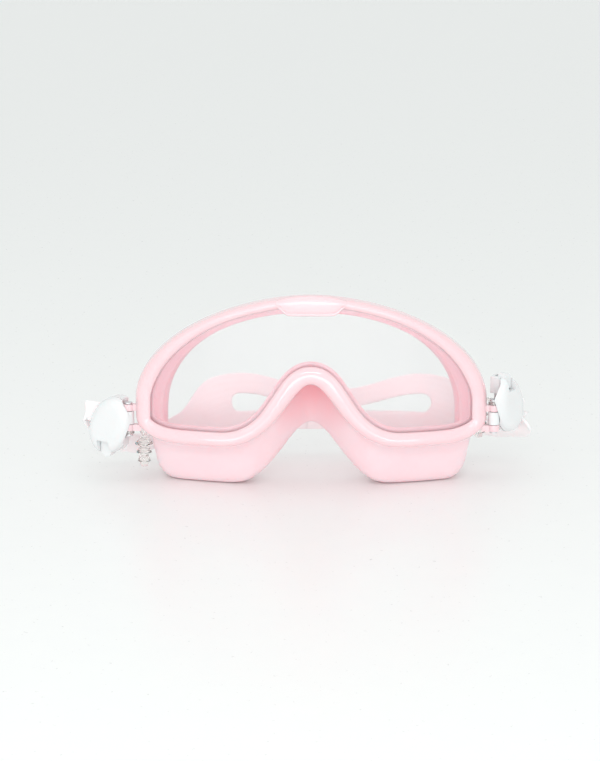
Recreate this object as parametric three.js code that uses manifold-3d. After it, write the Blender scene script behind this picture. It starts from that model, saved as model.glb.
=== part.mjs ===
// Wide swimming goggles standing on the cheek lobes of the face skirt.
// Millimetres. +X is the right-hand side seen from the front, the front faces -Y, +Z is up.
import * as THREE from 'three';
import { mergeVertices } from 'three/addons/utils/BufferGeometryUtils.js';
import Module from 'manifold-3d';

const wasm = await Module();
wasm.setup();

// shared fits
const gap = 0.3;               // clearance between pieces that meet
const pinGap = 0.25;           // radial clearance round the pins

// frame outline
const frameHalfWidth = 81.7;
const frameTop = 93.2;
const frameBottom = 21;
const frameMidZ = 41.5;        // widest height, where the brow arc begins
const browPower = 1.83;        // squareness of the brow arc
const cornerRun = 20;          // lower outer corner, across and up
const cornerRise = 11;
const noseStart = 42;          // where the lower edge starts up towards the nose
const noseTop = 52;
const wrapRadius = 200;        // bend of the front round the face

// rim section
const rimBand = 7.3;
const rimBandTopLoss = 2.6;
const rimBandNoseGain = 2;
const rimDepth = 8.5;
const rimLip = 2.2;
const lipThickness = 2.9;

// lens
const lensThickness = 2;
const lensFront = lipThickness + gap;
const lensBack = lensFront + lensThickness;

// skirt
const skirtWall = 2;
const skirtDepth = 33.5;
const faceHalfWidth = 72.5;
const faceTop = 84.5;
const faceMidZ = 30;
const facePower = 2.1;
const faceCorner = 10;
const faceNoseStart = 37;
const faceNoseTop = 28.5;
const lobeLand = 16;           // depth at which the cheek lobes reach the ground
const sealLip = 4.5;

// brow clip
const clipTopHalf = 16.4;
const clipBottomHalf = 10;
const clipHeight = 8.6;
const clipSide = 4.8;           // height of its ends above the slanted corners
const clipStand = 0.9;
const clipFloor = 2.6;          // depth of the pocket the clip sits in

// side hinge and buckle
const hingeX = frameHalfWidth + 3.2;
const hingeY = setback(frameHalfWidth) + 3.6;
const hingeZ = 32;
const knuckleRadius = 2.6;
const knuckleHeight = 3;
const barrelHeight = 6;
const pinRadius = 1;
const pinCap = 0.9;             // height of the heads on the hinge pin
const ringHeight = 1.2;
const ringRoom = ringHeight + 2 * gap;   // bare pin left for the tether ring
const buckleLong = 15;
const buckleShort = 10.8;
const buckleReach = 9.5;       // hinge to the middle of the oval
const buckleShift = 5;           // oval middle, from the strap line towards the lever
const buckleLean = 30 * Math.PI / 180;
// outer edge of the oval, measured from the hinge along the strap
const buckleEdge = buckleReach + Math.hypot(buckleLong * Math.sin(buckleLean), buckleShort * Math.cos(buckleLean));
const strapLead = 1.5;           // straight strap past that edge before it may bend
const baseBack = -4;
const baseFront = 1;
const trayFloor = -2.7;
const coverDome = 3.4;
const throatHeight = 10.6;
const tetherRoom = 3;           // height kept free under the lower knuckle
const leftSweep = 32 * Math.PI / 180;
const rightSweep = 55 * Math.PI / 180;

// lever
const leverWidth = 6;
const leverEnd = 20.2;
const leverAxis = 8;
const leverEye = 1.7;
const leverPinRadius = 0.7;

// strap
const strapThickness = 1.5;
const tailHeight = 9.6;
const wideHeight = 28;
const slotHeight = 8.6;
const slotSlit = 0.4;            // what is left of the slot where the bands touch
const strapRoll = 60 * Math.PI / 180;
const strapClear = skirtDepth - 2;   // from the hinges back to where the strap folds behind the skirt

// ear plugs
const plugStem = 2;
const plugFlange = 4.3;

const TAU = Math.PI * 2;

function surface(colour, roughness, opacity = 1) {
  const material = new THREE.MeshStandardMaterial({ color: colour, roughness, metalness: 0 });
  if (opacity < 1) {
    material.transparent = true;
    material.opacity = opacity;
  }
  return material;
}

function steel() {
  return new THREE.MeshStandardMaterial({ color: 0xb9bcc0, roughness: 0.3, metalness: 0.9 });
}

// ---- solids ----

function solid(geometry) {
  const bare = geometry.index ? geometry.toNonIndexed() : geometry.clone();
  bare.deleteAttribute('normal');
  bare.deleteAttribute('uv');
  const merged = mergeVertices(bare, 1e-4);
  const vertProperties = new Float32Array(merged.attributes.position.array);
  const triVerts = new Uint32Array(merged.index.array);
  return new wasm.Manifold(new wasm.Mesh({ numProp: 3, vertProperties, triVerts }));
}

function shell(body) {
  const mesh = body.getMesh();
  const geometry = new THREE.BufferGeometry();
  const positions = new Float32Array(mesh.vertProperties);
  geometry.setAttribute('position', new THREE.BufferAttribute(positions, 3));
  geometry.setIndex(new THREE.BufferAttribute(new Uint32Array(mesh.triVerts), 1));
  return geometry;
}

function named(name, geometry, material) {
  const flat = geometry.index ? geometry.toNonIndexed() : geometry;
  flat.computeVertexNormals();
  const mesh = new THREE.Mesh(flat, material);
  mesh.name = name;
  return mesh;
}

// closed solid from rows of points; a ring joins its last row to its first, a bar is capped
function loft(rows, ring) {
  const across = rows[0].length;
  const positions = [];
  for (const row of rows) {
    for (const point of row) positions.push(point.x, point.y, point.z);
  }
  const index = [];
  const spans = ring ? rows.length : rows.length - 1;
  for (let i = 0; i < spans; i += 1) {
    const a = i * across;
    const b = ((i + 1) % rows.length) * across;
    for (let j = 0; j < across; j += 1) {
      const k = (j + 1) % across;
      index.push(a + j, b + j, b + k, a + j, b + k, a + k);
    }
  }
  if (!ring) {
    const last = (rows.length - 1) * across;
    for (let j = 1; j < across - 1; j += 1) {
      index.push(0, j, j + 1);
      index.push(last, last + j + 1, last + j);
    }
  }
  const geometry = new THREE.BufferGeometry();
  geometry.setAttribute('position', new THREE.Float32BufferAttribute(positions, 3));
  geometry.setIndex(index);
  return outward(geometry);
}

// turns the faces round when they enclose a negative volume
function outward(geometry) {
  const p = geometry.attributes.position;
  const index = geometry.index.array;
  const a = new THREE.Vector3();
  const b = new THREE.Vector3();
  const c = new THREE.Vector3();
  let volume = 0;
  for (let i = 0; i < index.length; i += 3) {
    a.fromBufferAttribute(p, index[i]);
    b.fromBufferAttribute(p, index[i + 1]);
    c.fromBufferAttribute(p, index[i + 2]);
    volume += a.dot(b.cross(c));
  }
  if (volume < 0) {
    for (let i = 0; i < index.length; i += 3) {
      const keep = index[i + 1];
      index[i + 1] = index[i + 2];
      index[i + 2] = keep;
    }
  }
  return geometry;
}

function box(x0, x1, y0, y1, z0, z1) {
  const geometry = new THREE.BoxGeometry(x1 - x0, y1 - y0, z1 - z0);
  geometry.translate((x0 + x1) / 2, (y0 + y1) / 2, (z0 + z1) / 2);
  return geometry;
}

// upright cylinder
function post(radius, x, y, z0, z1, sides = 24) {
  const geometry = new THREE.CylinderGeometry(radius, radius, z1 - z0, sides);
  geometry.rotateX(Math.PI / 2);
  geometry.translate(x, y, (z0 + z1) / 2);
  return geometry;
}

// outline in x and z pushed from y0 to y1
function slabFrom(points, y0, y1) {
  const shape = new THREE.Shape(points);
  const geometry = new THREE.ExtrudeGeometry(shape, { depth: y1 - y0, bevelEnabled: false });
  geometry.rotateX(Math.PI / 2);
  geometry.translate(0, y1, 0);
  return geometry;
}

// ---- outlines ----

function setback(x) {
  return wrapRadius - Math.sqrt(wrapRadius * wrapRadius - x * x);
}

function bezier(p0, p1, p2, p3, t) {
  const s = 1 - t;
  return new THREE.Vector2(
    s * s * s * p0[0] + 3 * s * s * t * p1[0] + 3 * s * t * t * p2[0] + t * t * t * p3[0],
    s * s * s * p0[1] + 3 * s * s * t * p1[1] + 3 * s * t * t * p2[1] + t * t * t * p3[1],
  );
}

// clockwise from the top of the brow to the nose on the +X side
function halfOutline(o) {
  const points = [];
  const browSteps = 18;
  for (let i = 0; i < browSteps; i += 1) {
    const angle = Math.PI / 2 * (1 - i / browSteps);
    points.push(new THREE.Vector2(
      o.halfWidth * Math.pow(Math.cos(angle), 2 / o.power),
      o.midZ + (o.top - o.midZ) * Math.pow(Math.sin(angle), 2 / o.power),
    ));
  }
  const sideEnd = o.bottom + o.rise;
  const sideSteps = 3;
  for (let i = 0; i < sideSteps; i += 1) {
    points.push(new THREE.Vector2(o.halfWidth, o.midZ + (sideEnd - o.midZ) * i / sideSteps));
  }
  const cornerSteps = 7;
  for (let i = 0; i < cornerSteps; i += 1) {
    const angle = -Math.PI / 2 * i / cornerSteps;
    points.push(new THREE.Vector2(
      o.halfWidth - o.run + o.run * Math.cos(angle),
      sideEnd + o.rise * Math.sin(angle),
    ));
  }
  const flatSteps = 3;
  const flatStart = o.halfWidth - o.run;
  for (let i = 0; i < flatSteps; i += 1) {
    points.push(new THREE.Vector2(flatStart + (o.noseStart - flatStart) * i / flatSteps, o.bottom));
  }
  const noseSteps = 13;
  for (let i = 0; i <= noseSteps; i += 1) {
    points.push(bezier(
      [o.noseStart, o.bottom],
      [o.noseStart * o.footPull, o.bottom],
      [o.noseWidth, o.noseTop],
      [0, o.noseTop],
      i / noseSteps,
    ));
  }
  return points;
}

function wholeOutline(o) {
  const half = halfOutline(o);
  const other = half.slice(1, -1).reverse().map((p) => new THREE.Vector2(-p.x, p.y));
  return half.concat(other);
}

// unit vectors pointing into the closed outline
function inwardOf(points) {
  const n = points.length;
  return points.map((point, i) => {
    const before = points[(i + n - 1) % n];
    const after = points[(i + 1) % n];
    const along = after.clone().sub(before).normalize();
    return new THREE.Vector2(along.y, -along.x);
  });
}

const frameOutline = wholeOutline({
  halfWidth: frameHalfWidth,
  top: frameTop,
  bottom: frameBottom,
  midZ: frameMidZ,
  power: browPower,
  run: cornerRun,
  rise: cornerRise,
  noseStart,
  noseTop,
  footPull: 0.38,
  noseWidth: 9,
});
const frameInward = inwardOf(frameOutline);

const faceOutline = wholeOutline({
  halfWidth: faceHalfWidth,
  top: faceTop,
  bottom: 0,
  midZ: faceMidZ,
  power: facePower,
  run: faceCorner,
  rise: faceCorner,
  noseStart: faceNoseStart,
  noseTop: faceNoseTop,
  footPull: 0.48,
  noseWidth: 10,
});
const faceInward = inwardOf(faceOutline);

// width of the rim band: thinner over the brow, wider over the nose
function bandAt(point) {
  const browStart = 55;
  const noseReach = 20;
  if (point.y > browStart) {
    const nearNose = Math.abs(point.x) < noseReach && point.y < noseTop + 1;
    if (!nearNose) {
      return rimBand - rimBandTopLoss * Math.min(1, (point.y - browStart) / (frameTop - 10 - browStart));
    }
  }
  if (Math.abs(point.x) < noseReach && point.y < noseTop + 1) {
    return rimBand + rimBandNoseGain * (1 - Math.abs(point.x) / noseReach);
  }
  return rimBand;
}

// frame outline moved inwards so that it leaves `lip` of the band inside it
function bandOutline(lip) {
  return frameOutline.map((point, i) => {
    return point.clone().addScaledVector(frameInward[i], bandAt(point) - lip);
  });
}

function wrapped(point, depth) {
  return new THREE.Vector3(point.x, setback(point.x) + depth, point.y);
}

// ---- front pieces ----

function rimSection(band) {
  return [
    [0, rimDepth],
    [0, 3.6],
    [0.1 * band, 1.7],
    [0.25 * band, 0.5],
    [0.45 * band, 0],
    [0.65 * band, 0.25],
    [0.85 * band, 1],
    [0.97 * band, 1.9],
    [band, lipThickness],
    [band - rimLip, lipThickness],
    [band - rimLip, rimDepth],
  ];
}

// clip outline: low crowned top, short upright ends, slanted corners down to a narrow lip
function clipOutline(grow) {
  const top = frameTop + clipStand + grow;
  const ends = frameTop - clipSide;
  const bottom = frameTop - clipHeight - grow;
  const crown = 1.2;
  const half = clipTopHalf + grow;
  const low = clipBottomHalf + grow;
  const slant = bottom + 1.6;
  return [
    new THREE.Vector2(-half, ends),
    new THREE.Vector2(-half, top - crown),
    new THREE.Vector2(-half * 0.55, top - crown * 0.3),
    new THREE.Vector2(0, top),
    new THREE.Vector2(half * 0.55, top - crown * 0.3),
    new THREE.Vector2(half, top - crown),
    new THREE.Vector2(half, ends),
    new THREE.Vector2(low, slant),
    new THREE.Vector2(low, bottom),
    new THREE.Vector2(-low, bottom),
    new THREE.Vector2(-low, slant),
  ];
}

function makeRim() {
  const rows = frameOutline.map((point, i) => rimSection(bandAt(point)).map(([inset, depth]) => {
    return wrapped(point.clone().addScaledVector(frameInward[i], inset), depth);
  }));
  let rim = solid(loft(rows, true));
  rim = rim.subtract(solid(slabFrom(clipOutline(gap), -5, clipFloor)));
  for (const side of [-1, 1]) {
    rim = rim.add(sideLug(side));
    rim = rim.subtract(solid(post(pinRadius + pinGap, side * hingeX, hingeY, 0, 60)));
  }
  return named('frame_rim', shell(rim), surface(0xf3c3bf, 0.12));
}

// two knuckles on a short web beside the rim, the barrel of the buckle between them
function sideLug(side) {
  const half = barrelHeight / 2 + gap;
  let lug = null;
  for (const way of [-1, 1]) {
    const inner = hingeZ + way * half;
    const outer = inner + way * knuckleHeight;
    const z0 = Math.min(inner, outer);
    const z1 = Math.max(inner, outer);
    const knuckle = solid(post(knuckleRadius, side * hingeX, hingeY, z0, z1));
    const inboard = side * (frameHalfWidth - 2.5);
    const outboard = side * hingeX;
    const web = solid(box(
      Math.min(inboard, outboard),
      Math.max(inboard, outboard),
      hingeY - 1.6,
      hingeY + 1.6,
      z0,
      z1,
    ));
    const pair = knuckle.add(web);
    lug = lug ? lug.add(pair) : pair;
  }
  return lug;
}

// stepped clip: upper face stands proud of the lower lip
function makeBrowClip() {
  const proud = solid(slabFrom(clipOutline(0), -clipStand, clipFloor - gap));
  const step = frameTop - clipHeight + 1.6;
  const wide = clipTopHalf * 2;
  const shave = solid(box(-wide, wide, -clipStand - 1, -clipStand + 0.6, frameTop - 20, step));
  const line = solid(box(-wide, wide, -clipStand - 1, -clipStand + 1, step, step + 0.4));
  return named('brow_clip', shell(proud.subtract(shave).subtract(line)), surface(0xf3c8c4, 0.18));
}

function makeLens() {
  const arc = [];
  const steps = 40;
  const reach = frameHalfWidth - 1;
  for (let i = 0; i <= steps; i += 1) {
    const x = -reach + 2 * reach * i / steps;
    arc.push([x, setback(x)]);
  }
  const front = arc.map(([x, y]) => new THREE.Vector2(x, y + lensFront));
  const back = arc.map(([x, y]) => new THREE.Vector2(x, y + lensBack)).reverse();
  const plan = new THREE.Shape(front.concat(back));
  const curved = new THREE.ExtrudeGeometry(plan, { depth: frameTop + 20, bevelEnabled: false });
  const cut = slabFrom(bandOutline(rimLip - gap), -10, 60);
  const lens = solid(curved).intersect(solid(cut));
  return named('lens', shell(lens), surface(0xf4f7f8, 0.03, 0.25));
}

function makeSkirt() {
  const seat = bandOutline(rimLip - gap);
  const front = lensBack + gap;
  const rear = skirtDepth;
  const w = skirtWall;
  const rows = frameOutline.map((point, i) => {
    // the nose bridge slopes back slowly, the lobes and sides drop straight behind the rim
    const nose = Math.max(0, 1 - Math.abs(point.x) / 30) * (point.y < frameMidZ + 14 ? 1 : 0);
    const early = THREE.MathUtils.lerp(lobeLand, rear - 7, nose);
    const place = (blend, inset, depth) => {
      const base = seat[i].clone().lerp(faceOutline[i], blend);
      const inward = frameInward[i].clone().lerp(faceInward[i], blend).normalize();
      const at = base.addScaledVector(inward, inset);
      return new THREE.Vector3(at.x, setback(at.x) + depth, at.y);
    };
    const mid = (rimDepth + early) / 2;
    // each wall's middle row lies between its own neighbours, so a short wall never folds back
    const outerLand = early + 0.6;
    const outerEnd = rear - 3;
    const innerLand = early + 1.4;
    const innerEnd = rear - 4;
    return [
      place(0, 0, front),
      place(0, 0, rimDepth + 0.4),
      place(0.18, 0, rimDepth + 1.6),
      place(0.62, 0, mid + 0.6),
      place(0.9, 0, early - 1.4),
      place(1, 0, outerLand),
      place(1, 0, (outerLand + outerEnd) / 2),
      place(1, 0, outerEnd),
      place(1, 0.7, rear - 1.2),
      place(1, sealLip * 0.5, rear),
      place(1, sealLip, rear - 0.3),
      place(1, sealLip + 0.2, rear - 1.2),
      place(1, w + 0.6, rear - 2.2),
      place(1, w, innerEnd),
      place(1, w, (innerLand + innerEnd) / 2),
      place(1, w, innerLand),
      place(0.86, w, early - 0.4),
      place(0.58, w, mid + 1.4),
      place(0.16, w, rimDepth + 3),
      place(0, w + 0.6, rimDepth + 1.8),
      place(0, w + 1.4, front + 1.2),
      place(0, w + 1.4, front),
    ];
  });
  return named('face_skirt', loft(rows, true), surface(0xf6cfcb, 0.5));
}

// ---- buckles ----
// Local frame: x outwards from the hinge pin, y the back of the buckle, z up. The face is -y.

function seatBuckle(geometry, side) {
  const sweep = side < 0 ? leftSweep : rightSweep;
  if (side < 0) {
    geometry.scale(-1, 1, 1);
    const index = geometry.index;
    if (index) {
      for (let i = 0; i < index.count; i += 3) {
        const keep = index.getX(i + 1);
        index.setX(i + 1, index.getX(i + 2));
        index.setX(i + 2, keep);
      }
    }
  }
  geometry.rotateZ(side * sweep);
  geometry.translate(side * hingeX, hingeY, hingeZ);
  return geometry;
}

// +1 when the lever points up, -1 when it hangs down
function leverWay(side) {
  return side < 0 ? -1 : 1;
}

function ovalPoints(side, grow, steps = 30) {
  const lean = buckleLean;
  const centreZ = leverWay(side) * buckleShift;
  const points = [];
  for (let i = 0; i < steps; i += 1) {
    const angle = TAU * i / steps;
    const along = (buckleLong + grow) * Math.cos(angle);
    const over = (buckleShort + grow) * Math.sin(angle);
    points.push(new THREE.Vector2(
      buckleReach - along * Math.sin(lean) + over * Math.cos(lean),
      centreZ + along * Math.cos(lean) + over * Math.sin(lean),
    ));
  }
  return points;
}

function leverX(side) {
  return side < 0 ? 11.5 : 7.5;
}

function makeBuckleBase(side) {
  const way = leverWay(side);
  const x = leverX(side);
  let base = solid(slabFrom(ovalPoints(side, 0), -baseFront, -baseBack));
  // the plate stops short of the knuckles; only the cover passes over them
  const plateStart = knuckleRadius + gap;
  base = base.subtract(solid(box(-40, plateStart, -20, 20, -40, 40)));
  const barrel = solid(post(knuckleRadius, 0, 0, -barrelHeight / 2, barrelHeight / 2));
  const neck = solid(box(0, 5, -1, 2.4, -barrelHeight / 2, barrelHeight / 2));
  // room for the knuckles and the pin ends, and on the lever side for the tether ring
  for (const end of [-1, 1]) {
    const extra = end === way ? tetherRoom : 0;
    const room = barrelHeight / 2 + knuckleHeight + pinCap + 2 * gap + extra;
    const z0 = Math.min(end * barrelHeight / 2, end * room);
    const z1 = Math.max(end * barrelHeight / 2, end * room);
    const radius = knuckleRadius + (extra ? 4 : 2) * gap;
    base = base.subtract(solid(post(radius, 0, 0, z0, z1)));
    // the tether passes behind the plate
    if (extra) base = base.subtract(solid(box(-3, 6.6, 0.4, 8, z0 + gap, z1 + gap)));
  }
  base = base.add(barrel).add(neck);
  const half = throatHeight / 2;
  base = base.subtract(solid(box(knuckleRadius + 1.7, 40, -10, -trayFloor, -half, half)));
  const w = leverWidth / 2 + gap;
  const q0 = way * (half - 0.1);
  const q1 = way * 40;
  base = base.subtract(solid(box(x - w, x + w, -10, -trayFloor, Math.min(q0, q1), Math.max(q0, q1))));
  const bore = new THREE.CylinderGeometry(leverPinRadius + 0.15, leverPinRadius + 0.15, leverWidth + 4, 16);
  bore.rotateZ(Math.PI / 2);
  bore.translate(x, 0.4, way * leverAxis);
  base = base.subtract(solid(bore));
  base = base.subtract(solid(post(pinRadius + pinGap, 0, 0, -20, 20)));
  const slotX = barSeat();
  base = base.subtract(solid(post(1 + 0.15, slotX, 2, -half - 1.2, half + 1.2, 16)));
  const name = side < 0 ? 'left_buckle_base' : 'right_buckle_base';
  return named(name, seatBuckle(shell(base), side), surface(0xf1ede8, 0.35));
}

function barSeat() {
  return buckleReach + 3;
}

// domed cover over the base, open above the lever
function makeBuckleCover(side) {
  const steps = 6;
  const rows = [];
  const back = baseFront + gap;
  for (let i = 0; i <= steps; i += 1) {
    const t = i / steps;
    const inset = 0.4 + 5.4 * (1 - Math.cos(t * Math.PI / 2));
    const rise = back + 0.8 + coverDome * Math.sin(t * Math.PI / 2);
    rows.push(ovalPoints(side, -inset).map((p) => new THREE.Vector3(p.x, -rise, p.y)));
  }
  rows.unshift(ovalPoints(side, 0).map((p) => new THREE.Vector3(p.x, -back, p.y)));
  let cover = solid(loft(rows, false));
  const x = leverX(side);
  const w = leverWidth / 2 + gap;
  const way = leverWay(side);
  const q0 = way * (leverAxis + 4.2);
  const q1 = way * 40;
  cover = cover.subtract(solid(box(x - w, x + w, -12, 5, Math.min(q0, q1), Math.max(q0, q1))));
  cover = cover.subtract(solid(post(knuckleRadius + gap, 0, 0, -20, 20)));
  const name = side < 0 ? 'left_buckle_cover' : 'right_buckle_cover';
  return named(name, seatBuckle(shell(cover), side), surface(0xf7f5f2, 0.2));
}

// thumb tongue with a round end, an eye for its pin and a pawl towards the strap
function makeLever(side) {
  const way = leverWay(side);
  const x = leverX(side);
  const w = leverWidth / 2;
  const face = 0.9;
  const tongue = new THREE.Shape();
  const straight = leverEnd - w;
  tongue.moveTo(x - w, leverAxis);
  tongue.lineTo(x - w, straight);
  tongue.absarc(x, straight, w, Math.PI, 0, true);
  tongue.lineTo(x + w, leverAxis);
  const points = tongue.getPoints(14).map((p) => new THREE.Vector2(p.x, way * p.y));
  let lever = solid(slabFrom(points, -face, 1.2));
  const thumb = solid(slabFrom(points, -face - 1.8, -face + 0.2));
  const keepFrom = way * (leverAxis + 4.8);
  const keepTo = way * 30;
  const keep = solid(box(x - 9, x + 9, -9, 9, Math.min(keepFrom, keepTo), Math.max(keepFrom, keepTo)));
  lever = lever.add(thumb.intersect(keep));
  const eye = new THREE.CylinderGeometry(leverEye - 0.3, leverEye - 0.3, leverWidth, 20);
  eye.rotateZ(Math.PI / 2);
  eye.translate(x, 0.4, way * leverAxis);
  lever = lever.add(solid(eye));
  const pawlEnd = throatHeight / 2 + gap;
  const p0 = way * pawlEnd;
  const p1 = way * leverAxis;
  lever = lever.add(solid(box(x - w, x + w, -0.5, 0.8, Math.min(p0, p1), Math.max(p0, p1))));
  const bore = new THREE.CylinderGeometry(leverPinRadius + 0.15, leverPinRadius + 0.15, 20, 16);
  bore.rotateZ(Math.PI / 2);
  bore.translate(x, 0.4, way * leverAxis);
  lever = lever.subtract(solid(bore));
  const name = side < 0 ? 'left_release_lever' : 'right_release_lever';
  return named(name, seatBuckle(shell(lever), side), surface(0xf3f0ec, 0.3));
}

function makeLeverPin(side) {
  const pin = new THREE.CylinderGeometry(leverPinRadius, leverPinRadius, leverWidth + 3, 16);
  pin.rotateZ(Math.PI / 2);
  pin.translate(leverX(side), 0.4, leverWay(side) * leverAxis);
  const name = side < 0 ? 'left_lever_pin' : 'right_lever_pin';
  return named(name, seatBuckle(pin, side), steel());
}

// bowed leaf between the floor of the tray and the back of the tongue
function makeLeverSpring(side) {
  const way = leverWay(side);
  const x = leverX(side);
  const rows = [];
  const steps = 8;
  for (let i = 0; i <= steps; i += 1) {
    const t = i / steps;
    const z = way * (leverAxis + 3 + 5 * t);
    const bow = 0.9 * Math.sin(t * Math.PI);
    const near = -trayFloor - gap / 2 - bow;
    rows.push([
      new THREE.Vector3(x - 1.6, near - 0.25, z),
      new THREE.Vector3(x + 1.6, near - 0.25, z),
      new THREE.Vector3(x + 1.6, near, z),
      new THREE.Vector3(x - 1.6, near, z),
    ]);
  }
  const name = side < 0 ? 'left_lever_spring' : 'right_lever_spring';
  return named(name, seatBuckle(loft(rows, false), side), steel());
}

function makeStrapBar(side) {
  const half = throatHeight / 2 + 0.9;
  const bar = post(1, barSeat(), 2, -half, half, 16);
  const name = side < 0 ? 'left_strap_bar' : 'right_strap_bar';
  return named(name, seatBuckle(bar, side), steel());
}

// the pin stands out of the knuckles on the lever side, where the tether ring sits on it
function makeHingePin(side) {
  const way = leverWay(side);
  const reach = barrelHeight / 2 + knuckleHeight + gap;
  const x = side * hingeX;
  const from = hingeZ - way * (reach + 0.2);
  const to = hingeZ + way * (reach + ringRoom);
  const shaft = solid(post(pinRadius, x, hingeY, Math.min(from, to), Math.max(from, to)));
  const capAt = hingeZ - way * (reach + 0.1);
  const capEnd = capAt - way * (pinCap - 0.1);
  const cap = solid(post(pinRadius + 0.9, x, hingeY, Math.min(capAt, capEnd), Math.max(capAt, capEnd)));
  const footEnd = to + way * (pinCap - 0.1);
  const footAt = to - way * 0.1;
  const foot = solid(post(pinRadius + 0.9, x, hingeY, Math.min(footAt, footEnd), Math.max(footAt, footEnd)));
  const name = side < 0 ? 'left_hinge_pin' : 'right_hinge_pin';
  return named(name, shell(shaft.add(cap).add(foot)), steel());
}

// ---- strap ----

// point on the centre line of the strap from buckle to buckle; the middle leans to +X
function strapCurve() {
  const left = -hingeX;
  const right = hingeX;
  const back = hingeY + strapClear;
  const straight = buckleEdge + strapLead;
  const tail = straight + 1.5;
  // depth between the end of the straight run and the strap's back run
  const depthAt = (side, share) => THREE.MathUtils.lerp(throatPoint(side, tail).y, back, share);
  return new THREE.CatmullRomCurve3([
    throatPoint(-1, 5),
    throatPoint(-1, 14),
    throatPoint(-1, straight),
    throatPoint(-1, tail),
    new THREE.Vector3(left - 18.5, depthAt(-1, 0.32), 25),
    new THREE.Vector3(left - 12.5, depthAt(-1, 0.83), 15),
    new THREE.Vector3(left + 3, back + 1, 10.5),
    new THREE.Vector3(left + 23, back + 5, 20),
    new THREE.Vector3(left + 44, back + 7.5, 29),
    new THREE.Vector3(left + 78, back + 9, 29.5),
    new THREE.Vector3(right - 62, back + 9, 29.5),
    new THREE.Vector3(right - 27, back + 8, 29),
    new THREE.Vector3(right - 10, back + 6, 23),
    new THREE.Vector3(right + 3, back + 5, 16),
    new THREE.Vector3(right + 11, back + 3, 15.5),
    new THREE.Vector3(right + 15, depthAt(1, 0.8), 18),
    new THREE.Vector3(right + 15.5, depthAt(1, 0.4), 24),
    throatPoint(1, tail),
    throatPoint(1, straight),
    throatPoint(1, 14),
    throatPoint(1, 5),
  ], false, 'centripetal');
}

// middle of the throat `reach` outwards from the hinge pin
function throatPoint(side, reach) {
  const sweep = side < 0 ? leftSweep : rightSweep;
  return new THREE.Vector3(
    side * (hingeX + reach * Math.cos(sweep)),
    hingeY + reach * Math.sin(sweep),
    hingeZ,
  );
}

function ramp(value, from, to) {
  return THREE.MathUtils.smoothstep(value, from, to);
}

// band along the curve; its height, lift and twist are functions of the share of the length
function makeBand(curve, from, to, steps, shape, thickness) {
  const rows = [];
  for (let i = 0; i <= steps; i += 1) {
    const t = from + (to - from) * i / steps;
    const centre = curve.getPointAt(t);
    const tangent = curve.getTangentAt(t);
    const up = new THREE.Vector3(0, 0, 1);
    up.addScaledVector(tangent, -up.dot(tangent)).normalize().applyAxisAngle(tangent, shape.twist(t));
    const out = tangent.clone().cross(up).normalize();
    const middle = centre.clone().addScaledVector(up, shape.lift(t));
    const half = shape.height(t) / 2;
    const thin = thickness / 2;
    const ease = Math.min(0.5, thin * 0.6, half * 0.6);
    const corner = (a, b) => middle.clone().addScaledVector(up, a).addScaledVector(out, b);
    rows.push([
      corner(half - ease, thin),
      corner(half, thin - ease),
      corner(half, -thin + ease),
      corner(half - ease, -thin),
      corner(-half + ease, -thin),
      corner(-half, -thin + ease),
      corner(-half, thin - ease),
      corner(-half + ease, thin),
    ]);
  }
  return solid(loft(rows, false));
}

function makeStrap() {
  const curve = strapCurve();
  // shares of the length where the strap widens and where its slot runs
  const widen = [0.285, 0.36, 0.722, 0.77];
  const slot = [0.375, 0.707];
  const middle = (slot[0] + slot[1]) / 2;
  const spread = (t) => ramp(t, widen[0], widen[1]) * (1 - ramp(t, widen[2], widen[3]));
  // the upper band sags on to the lower one in the middle
  const dip = (t) => 1 - ramp(Math.abs(t - middle), 0.01, (slot[1] - slot[0]) * 0.47);
  // the tail on the +X side rolls nearly flat round its bend
  const twist = (t) => strapRoll * ramp(t, 0.77, 0.85) * (1 - ramp(t, 0.88, 0.94));
  const sag = slotHeight - slotSlit;
  const lift = (t) => -sag / 2 * dip(t);
  const band = {
    height: (t) => tailHeight + (wideHeight - tailHeight) * spread(t) - sag * dip(t),
    lift,
    twist,
  };
  const gapBand = {
    height: (t) => {
      const end = Math.max(0, Math.min(1, (t - slot[0]) / 0.015, (slot[1] - t) / 0.015));
      return Math.max(slotSlit, slotHeight * Math.sqrt(end * (2 - end)) - sag * dip(t));
    },
    lift: (t) => lift(t) - 0.8 * (1 - dip(t)),
    twist,
  };
  let strap = makeBand(curve, 0, 1, 88, band, strapThickness);
  strap = strap.subtract(makeBand(curve, slot[0], slot[1], 36, gapBand, 10));
  return named('head_strap', shell(strap), surface(0xf2b9b6, 0.5));
}

// ---- ear plugs ----

const plugDropX = 6.3;         // plug axis, inboard of the hinge pin and behind it
const plugDropY = 8.8;
const tetherDrop = 4;          // bent end of the tether above the plug

// height of the tether ring, just outside the knuckle on the lever side
function ringZ(side) {
  return hingeZ + leverWay(side) * (barrelHeight / 2 + knuckleHeight + gap + ringRoom / 2);
}

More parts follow.
